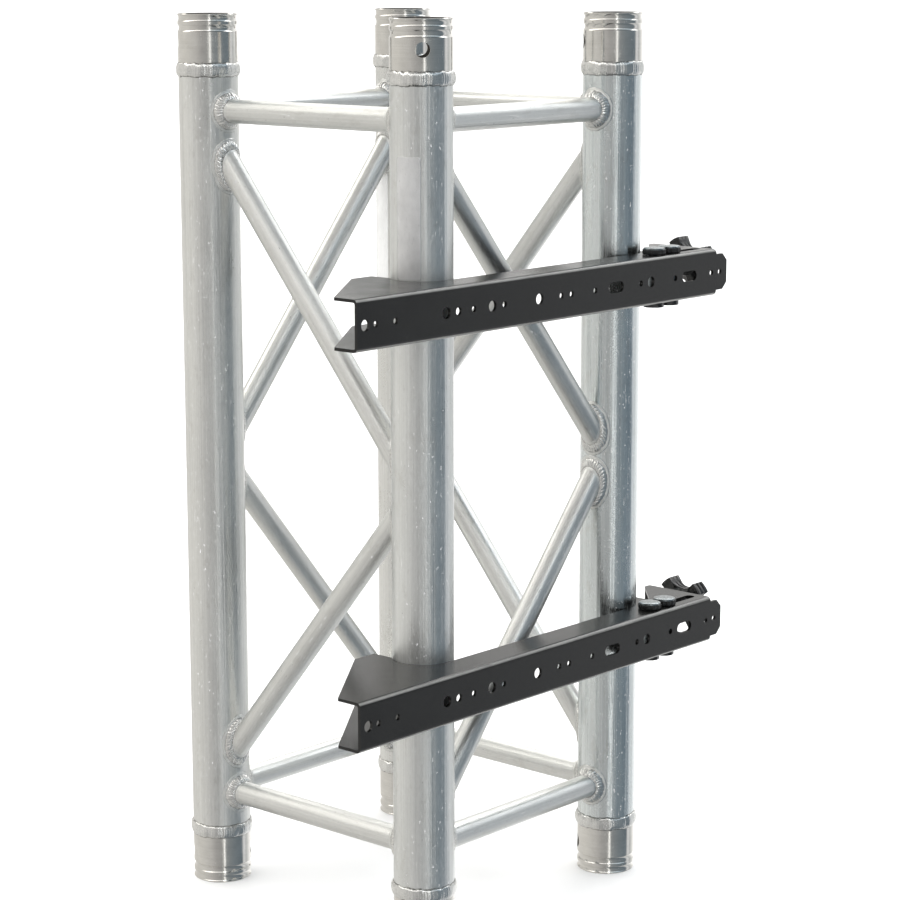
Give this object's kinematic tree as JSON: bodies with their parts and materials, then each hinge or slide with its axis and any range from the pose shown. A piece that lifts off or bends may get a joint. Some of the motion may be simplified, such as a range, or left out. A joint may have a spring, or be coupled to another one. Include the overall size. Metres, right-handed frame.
{
  "type": "lighting truss section",
  "caption": "Square box truss section with conical coupler sleeves and two sliding clamp-on equipment rails.",
  "frame": {"origin": "on the truss axis, in the plane of the bottom sleeves' end faces", "axes": "+Z along the truss, -Y out of the face that carries the rails, +X towards the rails' clamp end"},
  "size_m": [0.491, 0.3209, 0.75],
  "materials": {
    "aluminium_tube": "mill-finish drawn tube with fine lengthwise lines",
    "aluminium_machined": "turned, bright",
    "aluminium_weld": "rippled weld bead",
    "black_powder_coat": "satin black powder coat",
    "black_oxide": "black oxide steel",
    "zinc_steel": "zinc plated",
    "black_plastic": "moulded black plastic"
  },
  "bodies": {
    "truss": {"chord_front_left": "aluminium_tube", "chord_front_right": "aluminium_tube", "chord_back_right": "aluminium_tube", "chord_back_left": "aluminium_tube", "sleeve_bottom_front_left": "aluminium_machined", "sleeve_bottom_front_right": "aluminium_machined", "sleeve_bottom_back_right": "aluminium_machined", "sleeve_bottom_back_left": "aluminium_machined", "sleeve_top_front_left": "aluminium_machined", "sleeve_top_front_right": "aluminium_machined", "sleeve_top_back_right": "aluminium_machined", "sleeve_top_back_left": "aluminium_machined", "sleeve_welds": "aluminium_weld", "rung_bottom_front": "aluminium_tube", "rung_bottom_right": "aluminium_tube", "rung_bottom_back": "aluminium_tube", "rung_bottom_left": "aluminium_tube", "rung_top_front": "aluminium_tube", "rung_top_right": "aluminium_tube", "rung_top_back": "aluminium_tube", "rung_top_left": "aluminium_tube", "diagonal_lower_front": "aluminium_tube", "diagonal_lower_right": "aluminium_tube", "diagonal_lower_back": "aluminium_tube", "diagonal_lower_left": "aluminium_tube", "diagonal_upper_front": "aluminium_tube", "diagonal_upper_right": "aluminium_tube", "diagonal_upper_back": "aluminium_tube", "diagonal_upper_left": "aluminium_tube"},
    "rail_lower": {"rail_lower": "black_powder_coat", "anchor_block_lower": "black_powder_coat"},
    "jaw_lower": {"jaw_plates_lower": "black_powder_coat", "jaw_block_lower": "black_powder_coat", "guide_bushes_lower": "zinc_steel", "guide_bolts_lower": "zinc_steel", "guide_collars_lower": "black_oxide", "guide_nuts_lower": "black_oxide"},
    "screw_lower": {"clamp_spindle_lower": "zinc_steel", "spindle_clip_lower": "zinc_steel", "clamp_knob_lower": "black_plastic"},
    "rail_upper": {"rail_upper": "black_powder_coat", "anchor_block_upper": "black_powder_coat"},
    "jaw_upper": {"jaw_plates_upper": "black_powder_coat", "jaw_block_upper": "black_powder_coat", "guide_bushes_upper": "zinc_steel", "guide_bolts_upper": "zinc_steel", "guide_collars_upper": "black_oxide", "guide_nuts_upper": "black_oxide"},
    "screw_upper": {"clamp_spindle_upper": "zinc_steel", "spindle_clip_upper": "zinc_steel", "clamp_knob_upper": "black_plastic"}
  },
  "joints": [
    {"name": "rail_lower_height", "type": "slide", "parent": "truss", "child": "rail_lower", "axis": [0, 0, 1], "range_m": [-0.12, 0.12]},
    {"name": "jaw_lower_slide", "type": "slide", "parent": "rail_lower", "child": "jaw_lower", "axis": [1, 0, 0], "range_m": [0, 0.018]},
    {"name": "screw_lower_turn", "type": "hinge", "parent": "jaw_lower", "child": "screw_lower", "pos_m": [0.164, -0.12, 0.22], "axis": [1, 0, 0], "range_deg": [0, 2160]},
    {"name": "rail_upper_height", "type": "slide", "parent": "truss", "child": "rail_upper", "axis": [0, 0, 1], "range_m": [-0.12, 0.12]},
    {"name": "jaw_upper_slide", "type": "slide", "parent": "rail_upper", "child": "jaw_upper", "axis": [1, 0, 0], "range_m": [0, 0.018]},
    {"name": "screw_upper_turn", "type": "hinge", "parent": "jaw_upper", "child": "screw_upper", "pos_m": [0.164, -0.12, 0.528], "axis": [1, 0, 0], "range_deg": [0, 2160]}
  ],
  "couplings": [
    {"joint": "screw_lower_turn", "follows": "jaw_lower_slide", "rad_per_m": 2094.4},
    {"joint": "screw_upper_turn", "follows": "jaw_upper_slide", "rad_per_m": 2094.4}
  ]
}
